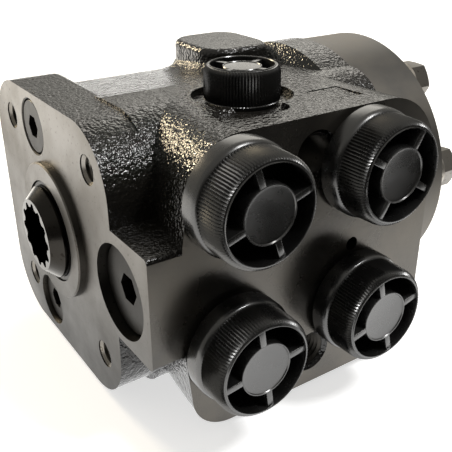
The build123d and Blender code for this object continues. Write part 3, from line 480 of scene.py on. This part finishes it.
class STEERING_OT_casting(bpy.types.Operator):
    """Dress the housing: painted casting, bare front, painted port face, cut threads"""
    bl_idname = "steering.casting"
    bl_label = "Dress housing"

    def execute(self, context):
        settings = context.scene.steering_casting
        shape = bmesh.new()
        shape.from_mesh(NODES["housing"].data)
        bmesh.ops.remove_doubles(shape, verts=shape.verts, dist=0.001 * MM)
        for face in shape.faces:
            face.material_index = self.finish_of(face)
        for place, along, radius, depth, pitch, finish in self.threads(settings):
            cut = bmesh.new()
            thread_rings(cut, radius, depth, pitch)
            move_piece(cut, place, along)
            add_shape(shape, cut, finish)
        mesh = finish_mesh(shape, "housing_casting", 28.0)
        for name in HOUSING_FINISHES:
            mesh.materials.append(MATERIALS[name])
        piece = new_piece("housing_casting", mesh, "housing", "casting", "housing")
        even = piece.modifiers.new("even_shading", "WEIGHTED_NORMAL")
        even.mode = "FACE_AREA"
        even.weight = 100
        even.keep_sharp = True
        return {"FINISHED"}

    def finish_of(self, face):
        """Number of the finish that a face of the casting takes."""
        near = 0.05 * MM
        centre, normal = face.calc_center_median(), face.normal
        if centre.x < -near or (normal.x < -0.99 and centre.x < near):
            return MOUNT_FACE
        if normal.y < -0.99 and abs(centre.y - PORT_FACE_Y) < near:
            return PORT_FACE
        if normal.x > 0.99 and centre.x > HOUSING_HIGH.x - near:
            return BORE
        if self.is_bored(centre):
            return BORE
        return PAINT

    def is_bored(self, centre):
        """True inside the mounting holes, the plug seats, the valve holes and the main bore."""
        for y, z in MOUNT_HOLES:
            if centre.x < MOUNT_HOLE_END_X and self.is_within(centre.y - y, centre.z - z, MOUNT_HOLE_R):
                return True
        for y, z, radius in PLUG_SEATS:
            beside, above = centre.y - y * MM, centre.z - z * MM
            if centre.x < PLUG_SEAT_END_X and self.is_within(beside, above, radius * MM):
                return True
        for x, z in VALVE_HOLES:
            if centre.y < VALVE_HOLE_END_Y and self.is_within(centre.x - x, centre.z - z, VALVE_HOLE_R):
                return True
        return Vector((centre.y, centre.z)).length < MAIN_BORE_R

    def is_within(self, beside, above, radius):
        """True when a point is inside a round wall or on it."""
        return Vector((beside, above)).length < radius + WALL_SLACK

    def threads(self, settings):
        """Place, direction, radius, depth, pitch and finish of each cut thread."""
        pitch = settings.thread_pitch
        rows = []
        for y, z in MOUNT_HOLES:
            rows.append(((0.4 * MM, y, z), (1, 0, 0), MOUNT_HOLE_R, 16 * MM, pitch, THREAD))
        for x, z in VALVE_HOLES:
            place = (x, PORT_FACE_Y + 1.4 * MM, z)
            rows.append((place, (0, 1, 0), VALVE_HOLE_R, 13 * MM, pitch, BORE))
        return rows


class STEERING_OT_caps(bpy.types.Operator):
    """Model the five moulded transit caps with their knurled grips"""
    bl_idname = "steering.caps"
    bl_label = "Model transit caps"

    def execute(self, context):
        settings = context.scene.steering_caps
        for name, (x, z, turn_deg) in PORT_CAPS.items():
            shape = self.port_cap(settings, turn_deg)
            move_piece(shape, (x * MM, PORT_FACE_Y, z * MM), (0, -1, 0))
            self.place(shape, name)
        shape = self.sensing_cap(settings)
        move_piece(shape, SENSING_PLACE, (0, 0, 1))
        self.place(shape, "sensing")
        return {"FINISHED"}

    def place(self, shape, name):
        mesh = finish_mesh(shape, f"{name}_cap_moulding", 32.0)
        mesh.materials.append(MATERIALS["cap_plastic"])
        new_piece(f"{name}_cap_moulding", mesh, f"{name}_cap", "cap_plastic", f"{name}_cap")

    def port_cap(self, settings, turn_deg):
        low = ((-9.9, 0), (-9.9, 8.5), (-9.7, 8.7), (1.2, 8.7), (1.2, 15.2), (1.5, 15.5), (5.2, 15.5),
               (6.3, 15.2), (6.8, 14.75))
        grip = ((6.9, 14.75), (10.4, 14.7), (13.6, 14.6), (14.5, 14.35), (15.05, 13.95), (15.35, 13.55))
        face = ((15.4, 13.35), (15.5, 12.98), (15.8, 12.88), (15.8, 12.72), (15.5, 12.6), (4.2, 12.6),
                (4.2, 7.8), (15.0, 7.8), (15.3, 7.65), (15.3, 7.4), (15.0, 7.2), (14.85, 6.4), (14.8, 0))
        shape = self.body(low, grip, face, settings.port_ribs, settings.rib_depth)
        self.spokes(shape, 7.5, 12.75, 0.95, 4.2, 15.3, turn_deg)
        return shape

    def sensing_cap(self, settings):
        low = ((-8.8, 0), (-8.8, 4.7), (-8.6, 4.9), (1.0, 4.9), (1.0, 10.7), (1.2, 10.9))
        grip = ((1.4, 10.95), (5.0, 10.95), (9.2, 10.85), (10.1, 10.6), (10.55, 10.2))
        face = ((10.7, 9.95), (10.75, 9.5), (11.0, 9.4), (11.0, 9.25), (10.8, 9.1), (4.0, 9.0),
                (4.0, 5.6), (10.2, 5.6), (10.4, 5.45), (10.4, 5.25), (10.2, 5.1), (10.1, 0))
        shape = self.body(low, grip, face, settings.sensing_ribs, settings.rib_depth)
        self.spokes(shape, 5.3, 9.15, 0.8, 4.0, 10.45, 20.0)
        return shape

    def body(self, low, grip, face, ribs, rib_depth):
        """A turned cap whose grip rows are sunk in every other column."""
        shape = bmesh.new()
        rows = [(height * MM, radius * MM) for height, radius in low + grip + face]
        turn_profile(shape, rows, 2 * ribs)
        sunk = [(height * MM, radius * MM) for height, radius in grip]
        for vert in shape.verts:
            radius = vert.co.xy.length
            if radius < 9.9 * MM:
                continue
            column = round(math.atan2(vert.co.y, vert.co.x) / (math.pi / ribs))
            if column % 2 and any(abs(vert.co.z - row[0]) < 0.02 * MM and abs(radius - row[1]) < 0.02 * MM
                                  for row in sunk):
                vert.co.xy *= (radius - rib_depth) / radius
        return shape

    def spokes(self, shape, inner, outer, half_width, low, high, turn_deg):
        """Four bars with eased tops between the hub and the rim."""
        for step in range(4):
            bar = bmesh.new()
            bmesh.ops.create_cube(bar, size=1.0)
            bmesh.ops.scale(bar, vec=((outer - inner) * MM, 2 * half_width * MM, (high - low) * MM),
                            verts=bar.verts)
            bmesh.ops.translate(bar, vec=((outer + inner) / 2 * MM, 0, (high + low) / 2 * MM),
                                verts=bar.verts)
            top = (high - 0.1) * MM
            edges = [edge for edge in bar.edges if all(vert.co.z > top for vert in edge.verts)]
            bmesh.ops.bevel(bar, geom=edges, offset=0.22 * MM, affect="EDGES", segments=2, profile=0.5,
                            material=-1)
            bmesh.ops.rotate(bar, cent=(0, 0, 0), verts=bar.verts,
                             matrix=Matrix.Rotation(math.radians(turn_deg + 90 * step), 3, "Z"))
            add_shape(shape, bar, 0)


class STEERING_OT_stage(bpy.types.Operator):
    """Set the floor, lights and camera"""
    bl_idname = "steering.stage"
    bl_label = "Set stage"

    def execute(self, context):
        settings = context.scene.steering_stage
        scene = context.scene
        self.floor()
        self.world(settings)
        self.lights()
        camera = bpy.data.cameras.new("camera")
        camera.lens = settings.lens
        camera.sensor_width = 36.0
        camera.clip_start = 0.005
        camera.clip_end = 20.0
        seat = bpy.data.objects.new("camera", camera)
        scene.collection.objects.link(seat)
        turn, lift = settings.azimuth, settings.elevation
        back = Vector((math.sin(turn) * math.cos(lift), -math.cos(turn) * math.cos(lift), math.sin(lift)))
        aim = (-back).to_track_quat("-Z", "Y").to_matrix()
        seat.matrix_world = (Matrix.Translation(settings.camera_place)
                             @ (aim @ Matrix.Rotation(settings.roll, 3, "Z")).to_4x4())
        scene.camera = seat
        scene.view_settings.view_transform = "Standard"
        return {"FINISHED"}

    def floor(self):
        """A pale floor that ends just in front of the unit; it keeps a faint shadow."""
        mesh = bpy.data.meshes.new("floor")
        shape = bmesh.new()
        bmesh.ops.create_grid(shape, x_segments=1, y_segments=1, size=FLOOR_HALF)
        bmesh.ops.translate(shape, verts=shape.verts, vec=(0.0, FLOOR_HALF + FLOOR_FRONT_Y, FLOOR_Z))
        shape.to_mesh(mesh)
        shape.free()
        floor = bpy.data.objects.new("floor", mesh)
        bpy.context.scene.collection.objects.link(floor)
        material = bpy.data.materials.new("floor")
        material.use_nodes = True
        tree = material.node_tree
        shader = tree.nodes["Principled BSDF"]
        shader.inputs["Base Color"].default_value = grey(0.86)
        shader.inputs["Roughness"].default_value = 0.8
        shader.inputs["Specular IOR Level"].default_value = 0.0
        shader.inputs["Emission Color"].default_value = WHITE
        rays = tree.nodes.new("ShaderNodeLightPath")
        camera = math_node(tree, "MULTIPLY", rays.outputs["Is Camera Ray"], FLOOR_SEEN)
        glossy = math_node(tree, "MULTIPLY", rays.outputs["Is Glossy Ray"], FLOOR_REFLECTED)
        link(tree, math_node(tree, "ADD", camera, glossy), shader.inputs["Emission Strength"])
        mesh.materials.append(material)

    def world(self, settings):
        """Plain soft light all round but for a dim front; white where it is looked at directly."""
        world = bpy.data.worlds.new("studio")
        world.use_nodes = True
        bpy.context.scene.world = world
        tree = world.node_tree
        background = tree.nodes["Background"]
        place = tree.nodes.new("ShaderNodeTexCoord")
        split = tree.nodes.new("ShaderNodeSeparateXYZ")
        link(tree, place.outputs["Generated"], split.inputs["Vector"])
        ahead = remap_node(tree, split.outputs["Y"], -0.42, -0.12, 0.0, 1.0)
        above = remap_node(tree, split.outputs["Z"], 0.30, 0.75, 0.0, 1.0)
        lit = math_node(tree, "MAXIMUM", ahead, above)
        room = math_node(tree, "MULTIPLY", lit, settings.world_level)
        room = math_node(tree, "ADD", room, settings.front_level)
        rays = tree.nodes.new("ShaderNodeLightPath")
        seen = math_node(tree, "MAXIMUM", rays.outputs["Is Camera Ray"],
                         rays.outputs["Is Transmission Ray"])
        tint = mix_colour(tree, seen, ROOM_TINT, WHITE)
        link(tree, tint, background.inputs["Color"])
        level = tree.nodes.new("ShaderNodeMix")
        link(tree, seen, level.inputs[0])
        link(tree, room, level.inputs[2])
        level.inputs[3].default_value = 1.0
        link(tree, level.outputs[0], background.inputs["Strength"])

    def lights(self):
        """Soft lamps behind and overhead, a warm one at the rear and a window to the right."""
        rows = (("key", (0.42, 0.42, 0.42), (0.04, -0.02, 0.0), 0.50, 1.25, (1.0, 0.96, 0.88)),
                ("overhead", (0.30, -0.28, 0.75), (0.02, -0.03, 0.02), 0.16, 1.1, (1.0, 0.98, 0.96)),
                ("warm_rear", (-0.16, 0.785, 0.344), (0.018, -0.045, 0.036), 0.22, 4.4, (1.0, 0.84, 0.58)),
                ("window", (0.31, -0.43, 0.64), (0.006, -0.036, 0.034), 0.14, 2.8, (1.0, 1.0, 1.0)))
        for name, place, target, size, power, tint in rows:
            lamp = bpy.data.lights.new(name, "AREA")
            lamp.shape = "DISK"
            lamp.size = size
            lamp.energy = power
            lamp.color = tint
            seat = bpy.data.objects.new(name, lamp)
            bpy.context.scene.collection.objects.link(seat)
            aim = (Vector(target) - Vector(place)).to_track_quat("-Z", "Y")
            seat.matrix_world = Matrix.Translation(place) @ aim.to_matrix().to_4x4()


class STEERING_PT_panel(bpy.types.Panel):
    """Lists the steps in the sidebar"""
    bl_idname = "STEERING_PT_panel"
    bl_label = "Orbital steering unit"
    bl_space_type = "VIEW_3D"
    bl_region_type = "UI"
    bl_category = "Steering"

    def draw(self, context):
        for step in STEPS:
            self.layout.operator(step)
        for settings in (context.scene.steering_casting, context.scene.steering_caps,
                         context.scene.steering_stage):
            for name in settings.__annotations__:
                self.layout.prop(settings, name)


STEPS = ("steering.materials", "steering.finish_nodes", "steering.casting", "steering.caps",
         "steering.stage")
CLASSES = (CastingSettings, CapSettings, StageSettings, STEERING_OT_materials, STEERING_OT_finish_nodes,
           STEERING_OT_casting, STEERING_OT_caps, STEERING_OT_stage, STEERING_PT_panel)


def register():
    for item in CLASSES:
        bpy.utils.register_class(item)
    bpy.types.Scene.steering_casting = bpy.props.PointerProperty(type=CastingSettings)
    bpy.types.Scene.steering_caps = bpy.props.PointerProperty(type=CapSettings)
    bpy.types.Scene.steering_stage = bpy.props.PointerProperty(type=StageSettings)


def unregister():
    del bpy.types.Scene.steering_casting
    del bpy.types.Scene.steering_caps
    del bpy.types.Scene.steering_stage
    for item in reversed(CLASSES):
        bpy.utils.unregister_class(item)


def main():
    register()
    bpy.ops.steering.materials()
    bpy.ops.steering.finish_nodes()
    bpy.ops.steering.casting()
    bpy.ops.steering.caps()
    bpy.ops.steering.stage()


if __name__ == "__main__":
    main()
